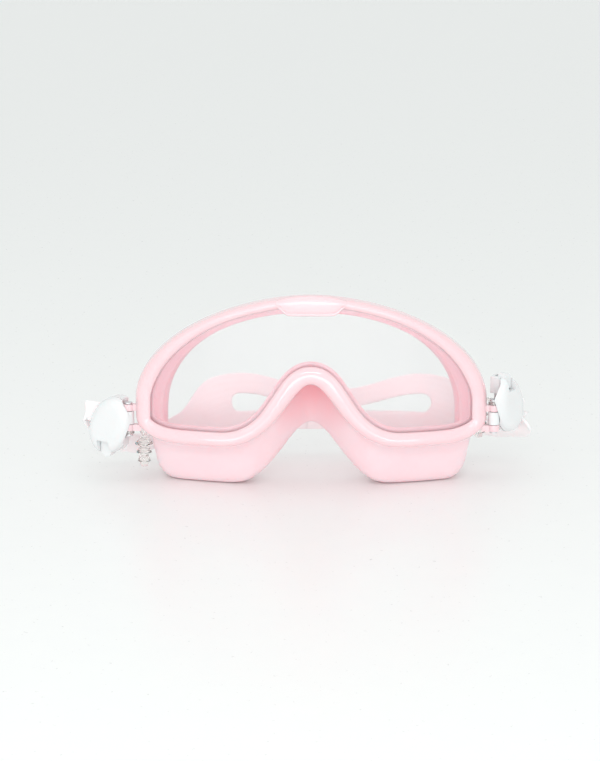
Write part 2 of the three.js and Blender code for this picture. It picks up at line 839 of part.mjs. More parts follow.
function makeTether(side) {
  const x = side * hingeX;
  const z = ringZ(side);
  const ring = solid(post(pinRadius + 1.6, x, hingeY, z - ringHeight / 2, z + ringHeight / 2));
  const px = x - side * plugDropX;
  const py = hingeY + plugDropY;
  const path = new THREE.CatmullRomCurve3([
    new THREE.Vector3(x - side * 0.3, hingeY + 1.7, z),
    new THREE.Vector3(x - side * 0.6, hingeY + 5.2, z),
    new THREE.Vector3(px + side * 2, py - 0.2, z - 0.6),
    new THREE.Vector3(px, py, z - tetherDrop),
  ]);
  const rows = [];
  const steps = 8;
  for (let i = 0; i <= steps; i += 1) {
    const t = i / steps;
    const centre = path.getPoint(t);
    const tangent = path.getTangent(t);
    const across = new THREE.Vector3(0, 1, 0).lerp(new THREE.Vector3(side, 0, 0), 1 - 0.6 * t);
    across.addScaledVector(tangent, -across.dot(tangent)).normalize();
    const out = tangent.clone().cross(across).normalize();
    const corner = (a, b) => centre.clone().addScaledVector(across, a).addScaledVector(out, b);
    rows.push([corner(0.9, 0.5), corner(0.9, -0.5), corner(-0.9, -0.5), corner(-0.9, 0.5)]);
  }
  const tether = ring.add(solid(loft(rows, false)))
    .subtract(solid(post(pinRadius + pinGap, x, hingeY, 0, 80)));
  const name = side < 0 ? 'left_ear_tether' : 'right_ear_tether';
  return named(name, shell(tether), surface(0xf2efec, 0.15, 0.5));
}

// stem with three soft flanges, widest nearest the tether
function makeEarPlug(side) {
  const top = ringZ(side) - tetherDrop - 2 * gap;
  const outline = [new THREE.Vector2(0, 0), new THREE.Vector2(plugStem, 0)];
  const flanges = 3;
  const pitch = 4.1;
  for (let i = 0; i < flanges; i += 1) {
    const radius = plugFlange - 0.6 * i;
    const z = -1.2 - pitch * i;
    outline.push(new THREE.Vector2(plugStem, z));
    outline.push(new THREE.Vector2(radius, z - 1.9));
    outline.push(new THREE.Vector2(radius - 0.2, z - 2.5));
    outline.push(new THREE.Vector2(plugStem, z - 1.6));
  }
  const tip = -1.2 - pitch * flanges;
  outline.push(new THREE.Vector2(plugStem, tip));
  outline.push(new THREE.Vector2(plugStem * 0.7, tip - 1));
  outline.push(new THREE.Vector2(0, tip - 1.3));
  const plug = new THREE.LatheGeometry(outline.reverse(), 20);
  plug.rotateX(Math.PI / 2);
  plug.translate(side * (hingeX - plugDropX), hingeY + plugDropY, top);
  const name = side < 0 ? 'left_ear_plug' : 'right_ear_plug';
  return named(name, plug, surface(0xf4f1ee, 0.12, 0.5));
}

// ---- assembly ----

const goggles = new THREE.Group();
goggles.name = 'goggles';
goggles.add(makeRim(), makeBrowClip(), makeLens(), makeSkirt(), makeStrap());
for (const side of [-1, 1]) {
  goggles.add(
    makeHingePin(side),
    makeBuckleBase(side),
    makeBuckleCover(side),
    makeStrapBar(side),
    makeLever(side),
    makeLeverPin(side),
    makeLeverSpring(side),
    makeTether(side),
    makeEarPlug(side),
  );
}

// origin in the middle of the ground footprint
const bounds = new THREE.Box3().setFromObject(goggles);
const middle = bounds.getCenter(new THREE.Vector3());
for (const piece of goggles.children) {
  piece.geometry.translate(-middle.x, -middle.y, -bounds.min.z);
}

export default goggles;
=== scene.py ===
import bpy, bmesh, math
from mathutils import Vector, Matrix


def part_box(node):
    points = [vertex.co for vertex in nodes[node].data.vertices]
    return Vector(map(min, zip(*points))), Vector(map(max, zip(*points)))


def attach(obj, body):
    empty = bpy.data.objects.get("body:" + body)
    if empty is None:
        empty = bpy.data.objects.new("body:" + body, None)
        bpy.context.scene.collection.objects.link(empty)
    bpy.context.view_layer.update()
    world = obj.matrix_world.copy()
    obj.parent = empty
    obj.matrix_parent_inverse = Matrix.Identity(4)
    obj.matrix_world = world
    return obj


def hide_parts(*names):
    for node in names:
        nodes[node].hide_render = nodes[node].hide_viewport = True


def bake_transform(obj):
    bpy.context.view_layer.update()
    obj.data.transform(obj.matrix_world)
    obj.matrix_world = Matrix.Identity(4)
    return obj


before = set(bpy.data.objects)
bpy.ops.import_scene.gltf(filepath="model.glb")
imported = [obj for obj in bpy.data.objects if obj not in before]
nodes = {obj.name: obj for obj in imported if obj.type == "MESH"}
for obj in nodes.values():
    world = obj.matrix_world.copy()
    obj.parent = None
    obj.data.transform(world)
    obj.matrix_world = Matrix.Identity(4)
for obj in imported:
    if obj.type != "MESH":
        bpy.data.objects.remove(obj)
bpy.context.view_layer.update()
scene = bpy.context.scene

frontSize = {
    "halfWidth": 81.7, "top": 93.2, "bottom": 21, "midZ": 41.5, "power": 1.83,
    "run": 20, "rise": 11, "noseStart": 42, "noseTop": 52, "footPull": 0.38, "noseWidth": 9,
    "wrapRadius": 200,
}

rimLow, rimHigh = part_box("frame_rim")
origin = Vector(((rimLow.x + rimHigh.x) / 2, rimLow.y, rimLow.z - frontSize["bottom"] * 0.001))
print("frame loaded:", len(nodes), "nodes")


cameraSetup = {
    "aim": (-0.00516, 0.02037, 0.0498),   # from the foot of the rim's middle
    "azimuth": 0.47,
    "elevation": 14.0,
    "distance": 1.1,
    "lens": 112.4,
}

lightSetup = {
    "worldColour": (0.846, 0.866, 0.858),
    "worldPower": 1.0,
    # name: place, aim, width, height, watts
    "lamps": {
        "top softbox": ((0.0, -0.1, 0.8), (0, 0, 0.04), 0.6, 0.4, 0.35),
        "front strip": ((0.0, -0.7, 0.5), (0, 0, 0.04), 0.6, 0.04, 0.8),
        "front fill": ((0.0, -1.3, 0.12), (0, 0, 0.03), 1.6, 0.35, 5.4),
        "left softbox": ((-0.75, -0.45, 0.4), (0, 0, 0.05), 0.3, 0.5, 0.4),
        "right softbox": ((0.75, -0.5, 0.35), (0, 0, 0.05), 0.2, 0.5, 0.24),
    },
}

floorSetup = {"size": 8.0, "colour": (247, 248, 247), "second": (245, 246, 246), "roughness": 0.3}


def tone(red, green, blue):
    # display colour 0 to 255 as linear light
    parts = [c / 255 for c in (red, green, blue)]
    return tuple(c / 12.92 if c < 0.04045 else ((c + 0.055) / 1.055) ** 2.4 for c in parts) + (1.0,)


def makeCamera():
    c = cameraSetup
    data = bpy.data.cameras.new("camera")
    cam = bpy.data.objects.new("camera", data)
    scene.collection.objects.link(cam)
    a, e = math.radians(c["azimuth"]), math.radians(c["elevation"])
    back = Vector((math.sin(a) * math.cos(e), -math.cos(a) * math.cos(e), math.sin(e)))
    cam.location = origin + Vector(c["aim"]) + back * c["distance"]
    cam.rotation_mode = "QUATERNION"
    cam.rotation_quaternion = (-back).to_track_quat("-Z", "Y")
    data.lens = c["lens"]
    data.clip_start, data.clip_end = 0.02, 20
    scene.camera = cam


def makeLights():
    scene.view_settings.view_transform = "Standard"
    world = bpy.data.worlds.new("studio")
    world.use_nodes = True
    shade = world.node_tree.nodes["Background"]
    shade.inputs["Color"].default_value = lightSetup["worldColour"] + (1,)
    shade.inputs["Strength"].default_value = lightSetup["worldPower"]
    scene.world = world
    for name, (at, aim, width, height, watts) in lightSetup["lamps"].items():
        data = bpy.data.lights.new(name, "AREA")
        data.shape = "RECTANGLE"
        data.size, data.size_y, data.energy = width, height, watts
        lamp = bpy.data.objects.new(name, data)
        lamp.location = at
        lamp.rotation_euler = (Vector(aim) - Vector(at)).to_track_quat("-Z", "Y").to_euler()
        scene.collection.objects.link(lamp)


makeCamera()
makeLights()
print("camera and lights ready")


class Reading:
    # a socket that can be used in sums
    def __init__(self, look, socket):
        self.look, self.socket = look, socket

    def __add__(self, other):
        return self.look.sum("ADD", self, other)

    def __sub__(self, other):
        return self.look.sum("SUBTRACT", self, other)

    def __rsub__(self, other):
        return self.look.sum("SUBTRACT", other, self)

    def __mul__(self, other):
        return self.look.sum("MULTIPLY", self, other)

    __radd__ = __add__
    __rmul__ = __mul__


class Look:
    def __init__(self, name):
        self.material = bpy.data.materials.new(name)
        self.material.use_nodes = True
        self.tree = self.material.node_tree
        self.tree.nodes.clear()

    def node(self, kind, settings=None, inputs=None, out=0):
        made = self.tree.nodes.new("ShaderNode" + kind)
        for key, value in (settings or {}).items():
            if key == "stops":
                ramp = made.color_ramp
                while len(ramp.elements) < len(value):
                    ramp.elements.new(0.5)
                for element, (at, colour) in zip(ramp.elements, value):
                    element.position, element.color = at, colour
            else:
                setattr(made, key, value)
        for key, value in (inputs or {}).items():
            if isinstance(value, Reading):
                self.tree.links.new(value.socket, made.inputs[key])
            else:
                made.inputs[key].default_value = value
        return Reading(self, made.outputs[out])

    def sum(self, operation, a, b):
        return self.node("Math", {"operation": operation}, {0: a, 1: b})

    def objectPlace(self):
        return self.node("TexCoord", out="Object")

    def noise(self, scale, detail=3, roughness=0.5, place=None):
        return self.node("TexNoise", {}, {
            "Vector": place or self.objectPlace(),
            "Scale": scale, "Detail": detail, "Roughness": roughness})

    def blendColours(self, amount, first, second):
        return self.node("Mix", {"data_type": "RGBA"}, {0: amount, 6: first, 7: second}, out=2)

    def bump(self, height, strength, distance):
        return self.node("Bump", {}, {"Height": height, "Strength": strength, "Distance": distance})

    def finish(self, shader):
        end = self.tree.nodes.new("ShaderNodeOutputMaterial")
        self.tree.links.new(shader.socket, end.inputs["Surface"])
        return self.material


def moulded(name, main, second, rough, grain, coat=0.0, subsurface=0.0, glow=(0.004, 0.0015, 0.0015),
            passing=0.0, noseRecessShade=None, innerGlow=None):
    # moulded plastic or silicone: slow colour drift, fine skin, uneven gloss
    look = Look(name)
    cloud = look.noise(70, 3)
    skin = look.noise(2600, 2)
    scuff = look.noise(420, 4, 0.65)
    colour = look.blendColours(cloud, tone(*main), tone(*second))
    if noseRecessShade:
        # painted shade: the silicone turns a deeper pink towards the nose arch, where the recess behind the
        # rim lies in shade
        centre, reach, shade = noseRecessShade
        away = look.node("VectorMath", {"operation": "DISTANCE"}, {0: look.objectPlace(), 1: centre}, out=1)
        paintedShadeMask = look.node("ValToRGB", {"stops": [(0.0, (1, 1, 1, 1)), (1.0, (0, 0, 0, 1))]},
                          {0: away * (1 / reach)})
        colour = look.blendColours(paintedShadeMask, colour, tone(*shade))
    paintedGlow = {}
    # painted glow: the inner walls, marked by the inside attribute, get a brighter pink and a faint emission
    # that stand in for light coming through the silicone
    if innerGlow:
        attribute, shade, lit = innerGlow
        inside = look.node("Attribute", {"attribute_name": attribute}, out="Fac")
        colour = look.blendColours(inside, colour, tone(*shade))
        paintedGlow = {"Emission Strength": lit,
                   "Emission Color": look.blendColours(inside, (0, 0, 0, 1), tone(*shade))}
    gloss = scuff * (rough * 0.5) + rough * 0.75
    inputs = {
        **paintedGlow,
        "Base Color": colour, "Roughness": gloss,
        "Normal": look.bump(skin + cloud * 0.6, grain, 0.00008),
        "Coat Weight": coat, "Coat Roughness": 0.05,
        "Subsurface Weight": subsurface, "Subsurface Radius": glow, "Subsurface Scale": 1.0,
    }
    skinned = look.node("BsdfPrincipled", {}, inputs)
    if not passing:
        return look.finish(skinned)
    # thin walls let some light through
    through = look.node("BsdfTranslucent", {}, {"Color": tone(255, 206, 214)})
    return look.finish(look.node("MixShader", {}, {0: cloud * 0.06 + passing, 1: skinned, 2: through}))


def ribbedSilicone(name, main, second, strip):
    # soft strap: fine ribs along its length from its own UV map
    look = Look(name)
    uv = look.node("UVMap", {"uv_map": "strip"})
    split = look.node("SeparateXYZ", {}, {0: uv})
    across = Reading(look, split.socket.node.outputs[1])
    ribs = look.node("Math", {"operation": "SINE"}, {0: across * (math.tau * strip)})
    cloud = look.noise(90, 3)
    skin = look.noise(2400, 2)
    colour = look.blendColours(cloud, tone(*main), tone(*second))
    height = ribs * 0.5 + skin * 0.35
    inputs = {
        "Base Color": colour, "Roughness": cloud * 0.14 + 0.36,
        "Normal": look.bump(height, 0.35, 0.00012),
        "Subsurface Weight": 0.25, "Subsurface Radius": (0.004, 0.0016, 0.0016),
        "Subsurface Scale": 1.0,
    }
    return look.finish(look.node("BsdfPrincipled", {}, inputs))


def clearLens(name):
    look = Look(name)
    scuff = look.noise(900, 4, 0.7)
    through = look.node("BsdfTransparent", {}, {"Color": (0.995, 0.995, 0.997, 1)})
    haze = look.node("BsdfTranslucent", {}, {"Color": tone(252, 252, 253)})
    face = look.node("BsdfDiffuse", {}, {"Color": tone(252, 252, 253)})
    veil = look.node("MixShader", {}, {0: 0.5, 1: haze, 2: face})
    shine = look.node("BsdfAnisotropic", {}, {"Color": (1, 1, 1, 1), "Roughness": scuff * 0.05 + 0.03})
    misty = look.node("MixShader", {}, {0: scuff * 0.03 + 0.03, 1: through, 2: veil})
    edge = look.node("Fresnel", {}, {"IOR": 1.5})
    return look.finish(look.node("MixShader", {}, {0: edge * 0.9, 1: misty, 2: shine}))


def paneEdge(name):
    look = Look(name)
    grind = look.noise(1800, 3)
    through = look.node("BsdfTransparent", {}, {"Color": (1, 0.97, 0.975, 1)})
    # painted reflection: the edge faces of the clear lens are tinted pink for the pink rim and skirt seen in
    # them
    frostedPaintedPink = look.node("BsdfPrincipled", {}, {
        "Base Color": look.blendColours(grind, tone(255, 230, 234), tone(250, 220, 226)),
        "Roughness": grind * 0.2 + 0.4})
    return look.finish(look.node("MixShader", {}, {0: grind * 0.1 + 0.15, 1: through, 2: frostedPaintedPink}))


def clearSilicone(name):
    look = Look(name)
    cloud = look.noise(160, 3)
    skin = look.noise(1500, 2)
    inputs = {
        "Base Color": look.blendColours(cloud, tone(255, 253, 251), tone(253, 249, 247)),
        "Roughness": cloud * 0.08 + 0.05, "IOR": 1.41, "Transmission Weight": 0.9,
        "Normal": look.bump(skin, 0.12, 0.00006),
    }
    return look.finish(look.node("BsdfPrincipled", {}, inputs))


def steelLook(name):
    look = Look(name)
    turned = look.node("Mapping", {}, {"Vector": look.objectPlace(), "Scale": (1, 1, 14)})
    brush = look.noise(900, 4, 0.6, turned)
    inputs = {
        "Base Color": look.blendColours(brush, tone(232, 232, 234), tone(214, 214, 217)),
        "Metallic": 1.0, "Roughness": brush * 0.2 + 0.2,
        "Normal": look.bump(brush, 0.15, 0.00004),
    }
    return look.finish(look.node("BsdfPrincipled", {}, inputs))


finishes = {
    "pinkGloss": moulded("pink gloss plastic", (250, 214, 219), (248, 208, 214), 0.13, 0.05, 1.0, 0.2),
    "pinkSilicone": moulded("pink silicone", (254, 232, 236), (253, 226, 231), 0.42, 0.12, 0.0, 0.5,
                            # painted shade: deeper pink towards the nose arch
                            passing=0.08, noseRecessShade=(origin + Vector((0, 0.012, 0.047)), 0.026, (246, 176, 184)),
                            # painted glow: brighter pink and faint emission on the inner walls
                            innerGlow=("inside", (252, 214, 221), 0.2)),
    "strap": ribbedSilicone("strap silicone", (255, 249, 250), (254, 245, 247), 9),
    "lens": clearLens("clear lens"),
    "lensEdge": paneEdge("lens edge painted pink reflection"),
    "clear": clearSilicone("clear silicone"),
    "white": moulded("white plastic", (236, 237, 238), (231, 232, 233), 0.2, 0.06, 0.35, 0.1),
    "steel": steelLook("steel"),
    "floor": moulded("pale floor", floorSetup["colour"], floorSetup["second"], floorSetup["roughness"], 0.02),
}


def makeFloor():
    bm = bmesh.new()
    bmesh.ops.create_grid(bm, x_segments=1, y_segments=1, size=floorSetup["size"] / 2)
    mesh = bpy.data.meshes.new("floor")
    bm.to_mesh(mesh)
    bm.free()
    floor = bpy.data.objects.new("floor", mesh)
    scene.collection.objects.link(floor)
    mesh.materials.append(finishes["floor"])


makeFloor()
print("materials ready")


def place(x, y, z):
    # millimetres from the middle of the front, as metres
    return origin + Vector((x, y, z)) * 0.001


def setback(x):
    r = frontSize["wrapRadius"]
    return r - math.sqrt(r * r - x * x)


def smooth(value, start, end):
    t = max(0.0, min(1.0, (value - start) / (end - start)))
    return t * t * (3 - 2 * t)


def mix(a, b, t):
    return a + (b - a) * t


def bezier(p, t):
    s = 1 - t
    w = (s * s * s, 3 * s * s * t, 3 * s * t * t, t * t * t)
    return (sum(a * q[0] for a, q in zip(w, p)), sum(a * q[1] for a, q in zip(w, p)))


def outlineOf(o):
    half = []
    for i in range(18):
        a = math.pi / 2 * (1 - i / 18)
        half.append((o["halfWidth"] * max(0, math.cos(a)) ** (2 / o["power"]),
                     o["midZ"] + (o["top"] - o["midZ"]) * math.sin(a) ** (2 / o["power"])))
    sideEnd = o["bottom"] + o["rise"]
    half += [(o["halfWidth"], mix(o["midZ"], sideEnd, i / 3)) for i in range(3)]
    for i in range(7):
        a = -math.pi / 2 * i / 7
        half.append((o["halfWidth"] - o["run"] + o["run"] * math.cos(a), sideEnd + o["rise"] * math.sin(a)))
    flat = o["halfWidth"] - o["run"]
    half += [(mix(flat, o["noseStart"], i / 3), o["bottom"]) for i in range(3)]
    foot = ((o["noseStart"], o["bottom"]), (o["noseStart"] * o["footPull"], o["bottom"]),
            (o["noseWidth"], o["noseTop"]), (0, o["noseTop"]))
    half += [bezier(foot, i / 13) for i in range(14)]
    half[0] = (0.0, o["top"])
    return [Vector(p) for p in half + [(-x, z) for x, z in reversed(half[1:-1])]]


def inwardOf(points):
    result = []
    for i, point in enumerate(points):
        along = (points[(i + 1) % len(points)] - points[i - 1]).normalized()
        result.append(Vector((along.y, -along.x)))
    return result


def ringOf(bm, points):
    ring = bmesh.ops.create_circle(bm, cap_ends=False, radius=1, segments=len(points))["verts"]
    for v, p in zip(ring, points):
        v.co = p
    return ring


def edgesOf(bm, ring):
    return [bm.edges.get((ring[i - 1], ring[i])) for i in range(len(ring))]


def nextRing(bm, ring, points):
    made = bmesh.ops.extrude_edge_only(bm, edges=edgesOf(bm, ring))["geom"]
    fresh = {v for v in made if isinstance(v, bmesh.types.BMVert)}
    follow = [next(e.other_vert(v) for e in v.link_edges if e.other_vert(v) in fresh) for v in ring]
    for v, p in zip(follow, points):
        v.co = p
    return follow


def stacked(bm, rows):
    # skins the rows one after another and gives the edges of the first and the last
    first = ring = ringOf(bm, rows[0])
    for row in rows[1:]:
        ring = nextRing(bm, ring, row)
    return edgesOf(bm, first), edgesOf(bm, ring)


def closedRing(rows):
    # a tube whose section runs through the rows and closes on itself
    bm = bmesh.new()
    first, last = stacked(bm, rows)
    bmesh.ops.bridge_loops(bm, edges=first + last)
    bmesh.ops.recalc_face_normals(bm, faces=bm.faces)
    return bm


def capped(rows):
    # stacked rings with both ends filled
    bm = bmesh.new()
    for end in stacked(bm, rows):
        bmesh.ops.contextual_create(bm, geom=end)
    bmesh.ops.recalc_face_normals(bm, faces=bm.faces)
    return bm


def objectFrom(bm, name):
    mesh = bpy.data.meshes.new(name)
    bm.to_mesh(mesh)
    bm.free()
    made = bpy.data.objects.new(name, mesh)
    scene.collection.objects.link(made)
    return made


def subdivide(piece, levels):
    mod = piece.modifiers.new("smooth", "SUBSURF")
    mod.levels = mod.render_levels = levels


def settle(piece):
    # bakes the modifiers into the mesh
    graph = bpy.context.evaluated_depsgraph_get()
    mesh = bpy.data.meshes.new_from_object(piece.evaluated_get(graph))
    piece.modifiers.clear()
    old, piece.data = piece.data, mesh
    bpy.data.meshes.remove(old)


def carve(piece, bm):
    cutter = objectFrom(bm, "cutter")
    mod = piece.modifiers.new("carve", "BOOLEAN")
    mod.solver, mod.operation, mod.object = "EXACT", "DIFFERENCE", cutter
    settle(piece)
    bpy.data.objects.remove(cutter)


def dress(piece, finish, body, stands, sharp=40):
    piece.data.materials.clear()
    piece.data.materials.append(finishes[finish])
    piece.data.shade_smooth()
    if sharp:
        piece.data.set_sharp_from_angle(angle=math.radians(sharp))
    if body:
        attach(piece, body)
    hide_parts(*stands)
    return piece


def roundedCopy(node, name, finish, body, width=0.25):
    bm = bmesh.new()
    bm.from_mesh(nodes[node].data)
    bmesh.ops.remove_doubles(bm, verts=bm.verts, dist=3e-6)
    bmesh.ops.dissolve_limit(bm, angle_limit=math.radians(2), verts=bm.verts, edges=bm.edges)
    piece = objectFrom(bm, name)
    mod = piece.modifiers.new("edges", "BEVEL")
    mod.width, mod.segments = width * 0.001, 3
    mod.limit_method, mod.angle_limit = "ANGLE", math.radians(34)
    mod.use_clamp_overlap = True
    return dress(piece, finish, body, [node])


rimSize = {"band": 7.3, "topLoss": 2.6, "noseGain": 2, "noseHalf": 20, "thinFrom": 55, "thinRun": 28.2,
           "depth": 8.5, "lip": 2.2, "lipThickness": 2.9}
hingeSize = {"out": 3.2, "behind": 3.6, "z": 32, "knuckle": 2.6, "knuckleHeight": 3, "barrel": 6, "gap": 0.3,
             "leftSweep": 32, "rightSweep": 55, "webInto": 2.5, "webDeep": 3.2}

hingeX = frontSize["halfWidth"] + hingeSize["out"]
hingeY = setback(frontSize["halfWidth"]) + hingeSize["behind"]
rimOutline = outlineOf(frontSize)
rimInward = inwardOf(rimOutline)


def bandAt(p):
    s = rimSize
    if abs(p.x) < s["noseHalf"] and p.y < frontSize["noseTop"] + 1:
        return s["band"] + s["noseGain"] * (1 - abs(p.x) / s["noseHalf"])
    if p.y > s["thinFrom"]:
        return s["band"] - s["topLoss"] * min(1, (p.y - s["thinFrom"]) / s["thinRun"])
    return s["band"]


def bandOutline(lip):
    return [p + inward * (bandAt(p) - lip) for p, inward in zip(rimOutline, rimInward)]


def rimStep(share, offset, depth):
    row = []
    for p, inward in zip(rimOutline, rimInward):
        at = p + inward * (bandAt(p) * share + offset)
        row.append(place(at.x, setback(at.x) + depth, at.y))
    return row


def makeRim():
    s = rimSize
    steps = [(0, 0, s["depth"]), (0, 0, s["depth"] - 0.5), (0, 0, 3.6), (0.1, 0, 1.7), (0.25, 0, 0.5),
             (0.45, 0, 0), (0.65, 0, 0.25), (0.85, 0, 1), (0.97, 0, 1.9), (1, 0, s["lipThickness"] - 0.3),
             (1, 0, s["lipThickness"]), (1, -0.3, s["lipThickness"]), (1, -s["lip"], s["lipThickness"]),
             (1, -s["lip"], s["lipThickness"] + 0.3), (1, -s["lip"], s["depth"])]
    rim = objectFrom(closedRing([rimStep(*step) for step in steps]), "rim")
    subdivide(rim, 2)
    settle(rim)
    bm = bmesh.new()
    bm.from_mesh(rim.data)
    h = hingeSize
    for side in (-1, 1):
        for way in (-1, 1):
            z = h["z"] + way * (h["barrel"] / 2 + h["gap"] + h["knuckleHeight"] / 2)
            addPost(bm, h["knuckle"], h["knuckleHeight"], place(side * hingeX, hingeY, z))
            inboard = frontSize["halfWidth"] - h["webInto"]
            web = bmesh.ops.create_cube(bm, size=0.001)["verts"]
            bmesh.ops.scale(bm, verts=web, vec=(hingeX - inboard, h["webDeep"], h["knuckleHeight"] - 0.1))
            bmesh.ops.translate(bm, verts=web, vec=place(side * (hingeX + inboard) / 2, hingeY, z))
    bm.to_mesh(rim.data)
    bm.free()
    dress(rim, "pinkGloss", "goggles_front", ["frame_rim"], 50)


def addPost(bm, radius, height, at, bevel=0.3, segments=32):
    made = bmesh.ops.create_cone(bm, cap_ends=True, segments=segments, radius1=radius * 0.001,
                                 radius2=radius * 0.001, depth=height * 0.001)["verts"]
    bmesh.ops.translate(bm, verts=made, vec=at)
    rims = {e for v in made for e in v.link_edges if abs(e.verts[0].co.z - e.verts[1].co.z) < 1e-7}
    bmesh.ops.bevel(bm, geom=list(rims), offset=bevel * 0.001, segments=3, profile=0.5, material=-1,
                    affect="EDGES")


clipSize = {"topHalf": 16.4, "bottomHalf": 10, "height": 8.6, "side": 4.8, "stand": 0.9, "floor": 2.6,
            "gap": 0.3}


def makeClip():
    # follows the crown of the rim: its ends run into the rim, its middle stands proud over a thin lip
    c = clipSize
    crown = [p for p in rimOutline if abs(p.x) < 30 and p.y > 60]
    crown.sort(key=lambda p: p.x)

    def rimTop(x):
        for a, b in zip(crown, crown[1:]):
            if a.x <= x <= b.x:
                return mix(a.y, b.y, (x - a.x) / (b.x - a.x))
        return frontSize["top"]

    rows = []
    for i in range(33):
        x = mix(-c["topHalf"], c["topHalf"], i / 32)
        proud = mix(c["stand"], -0.25, smooth(abs(x), c["topHalf"] * 0.45, c["topHalf"]))
        top = rimTop(x) + proud * 0.9
        foot = frontSize["top"] - mix(c["height"], c["side"], smooth(abs(x), c["bottomHalf"], c["topHalf"]))
        y, floor = setback(x), c["floor"] - c["gap"]
        section = [(top, floor), (top, 1.4), (top - 0.5, 0.5), (top - 1.5, -0.2 - proud * 0.5),
                   (top - 2.8, -proud), (foot + 2.0, -proud), (foot + 1.7, 0.3 - proud),
                   (foot + 1.4, 0.5 - proud), (foot + 1.1, 0.1 - proud), (foot + 0.4, 0.1 - proud),
                   (foot, 0.6 - proud), (foot, floor)]
        rows.append([place(x, y + depth, z) for z, depth in section])
    clip = objectFrom(capped(rows), "clip")
    subdivide(clip, 1)
    dress(clip, "pinkGloss", "goggles_front", ["brow_clip"], 50)


lensSize = {"front": 3.2, "thickness": 2.0, "gap": 0.3, "bendSpan": 78, "bendStep": 3, "edgeTurn": 0.8}


def makeLens():
    s = lensSize
    outline = bandOutline(rimSize["lip"] - s["gap"])
    bm = bmesh.new()
    ring = ringOf(bm, [Vector((p.x, 0, p.y)) for p in outline])
    bmesh.ops.contextual_create(bm, geom=edgesOf(bm, ring))
    for x in range(-s["bendSpan"], s["bendSpan"] + 1, s["bendStep"]):
        bmesh.ops.bisect_plane(bm, geom=bm.verts[:] + bm.edges[:] + bm.faces[:], dist=1e-4,
                               plane_co=(x, 0, 0), plane_no=(1, 0, 0))
    for v in bm.verts:
        v.co = place(v.co.x, setback(v.co.x) + s["front"], v.co.z)
    for face in bm.faces:
        face.normal_update()
    bmesh.ops.recalc_face_normals(bm, faces=bm.faces)
    if sum(f.normal.y for f in bm.faces) > 0:
        bmesh.ops.reverse_faces(bm, faces=bm.faces)
    bmesh.ops.solidify(bm, geom=bm.faces[:], thickness=s["thickness"] * 0.001)
    bmesh.ops.recalc_face_normals(bm, faces=bm.faces)
    lens = objectFrom(bm, "lens_pane")
    dress(lens, "lens", "goggles_front", ["lens"], 40)
    # the edge faces take the painted pink reflection
    lens.data.materials.append(finishes["lensEdge"])
    for face in lens.data.polygons:
        if abs(face.normal.y) < s["edgeTurn"]:
            face.material_index = 1


skirtSize = {
    "halfWidth": 72.5, "top": 84.5, "bottom": 0, "midZ": 30, "power": 2.1, "run": 10, "rise": 10,
    "noseStart": 37, "noseTop": 28.5, "footPull": 0.48, "noseWidth": 10,
    "wall": 2, "depth": 33.5, "lobeLand": 16, "sealLip": 4.5,
    "insideRows": (10.5, 13.5),
}
faceOutline = outlineOf(skirtSize)
faceInward = inwardOf(faceOutline)


def makeSkirt():
    s = skirtSize
    seat = bandOutline(rimSize["lip"] - lensSize["gap"])
    front = lensSize["front"] + lensSize["thickness"] + lensSize["gap"]
    rear, w, rimDepth = s["depth"], s["wall"], rimSize["depth"]
    columns = []
    for i, p in enumerate(rimOutline):
        nose = max(0, 1 - abs(p.x) / 30) if p.y < frontSize["midZ"] + 14 else 0
        early = mix(s["lobeLand"], rear - 7, nose)
        mid = (rimDepth + early) / 2
        outerLand, outerEnd, innerLand, innerEnd = early + 0.6, rear - 3, early + 1.4, rear - 4
        steps = [
            (0, 0, front), (0, 0, rimDepth + 0.4), (0.18, 0, rimDepth + 1.6), (0.62, 0, mid + 0.6),
            (0.9, 0, early - 1.4), (1, 0, outerLand), (1, 0, (outerLand + outerEnd) / 2),
            (1, 0, outerEnd), (1, 0.7, rear - 1.2), (1, s["sealLip"] * 0.5, rear),
            (1, s["sealLip"], rear - 0.3), (1, s["sealLip"] + 0.2, rear - 1.2), (1, w + 0.6, rear - 2.2),
            (1, w, innerEnd), (1, w, (innerLand + innerEnd) / 2), (1, w, innerLand),
            (0.86, w, early - 0.4), (0.58, w, mid + 1.4), (0.16, w, rimDepth + 3),
            (0, w + 0.6, rimDepth + 1.8), (0, w + 1.4, front + 1.2), (0, w + 1.4, front)]
        column = []
        for blend, inset, depth in steps:
            inward = rimInward[i].lerp(faceInward[i], blend).normalized()
            at = seat[i].lerp(faceOutline[i], blend) + inward * inset
            column.append(place(at.x, setback(at.x) + depth, at.y))
        columns.append(column)
    rows = [list(row) for row in zip(*columns)]
    skirt = objectFrom(closedRing(rows), "skirt")
    # rings come in the order of the section, so a vertex number tells its row
    # the inside mask marks the inner walls that carry the painted glow
    inside = skirt.data.attributes.new("inside", "FLOAT", "POINT")
    for vertex in skirt.data.vertices:
        step = vertex.index // len(rows[0])
        inside.data[vertex.index].value = smooth(step, *s["insideRows"])
    subdivide(skirt, 2)
    dress(skirt, "pinkSilicone", "goggles_front", ["face_skirt"], None)


makeRim()
makeLens()
makeSkirt()
makeClip()
print("front ready")


buckleSize = {"long": 15, "short": 10.8, "reach": 9.5, "shift": 5, "lean": 30, "front": 1.0,
              "edge": 0.35, "round": 0.4, "shoulder": 0.8, "domeRun": 5.4, "dome": 3.4, "gap": 0.3,
              "leverWidth": 6, "leverAxis": 8, "slotStart": 4.2, "leftLever": 11.5, "rightLever": 7.5,
              "pinHole": 2.9, "springMiddle": 5.5, "springFoot": 2.55, "springCrest": 1.4}


def sideName(side):
    return "left" if side < 0 else "right"


def leverX(side):
    return buckleSize[sideName(side) + "Lever"]


def leverWay(side):
    return -1 if side < 0 else 1


def sweepOf(side):
    return math.radians(hingeSize[sideName(side) + "Sweep"])


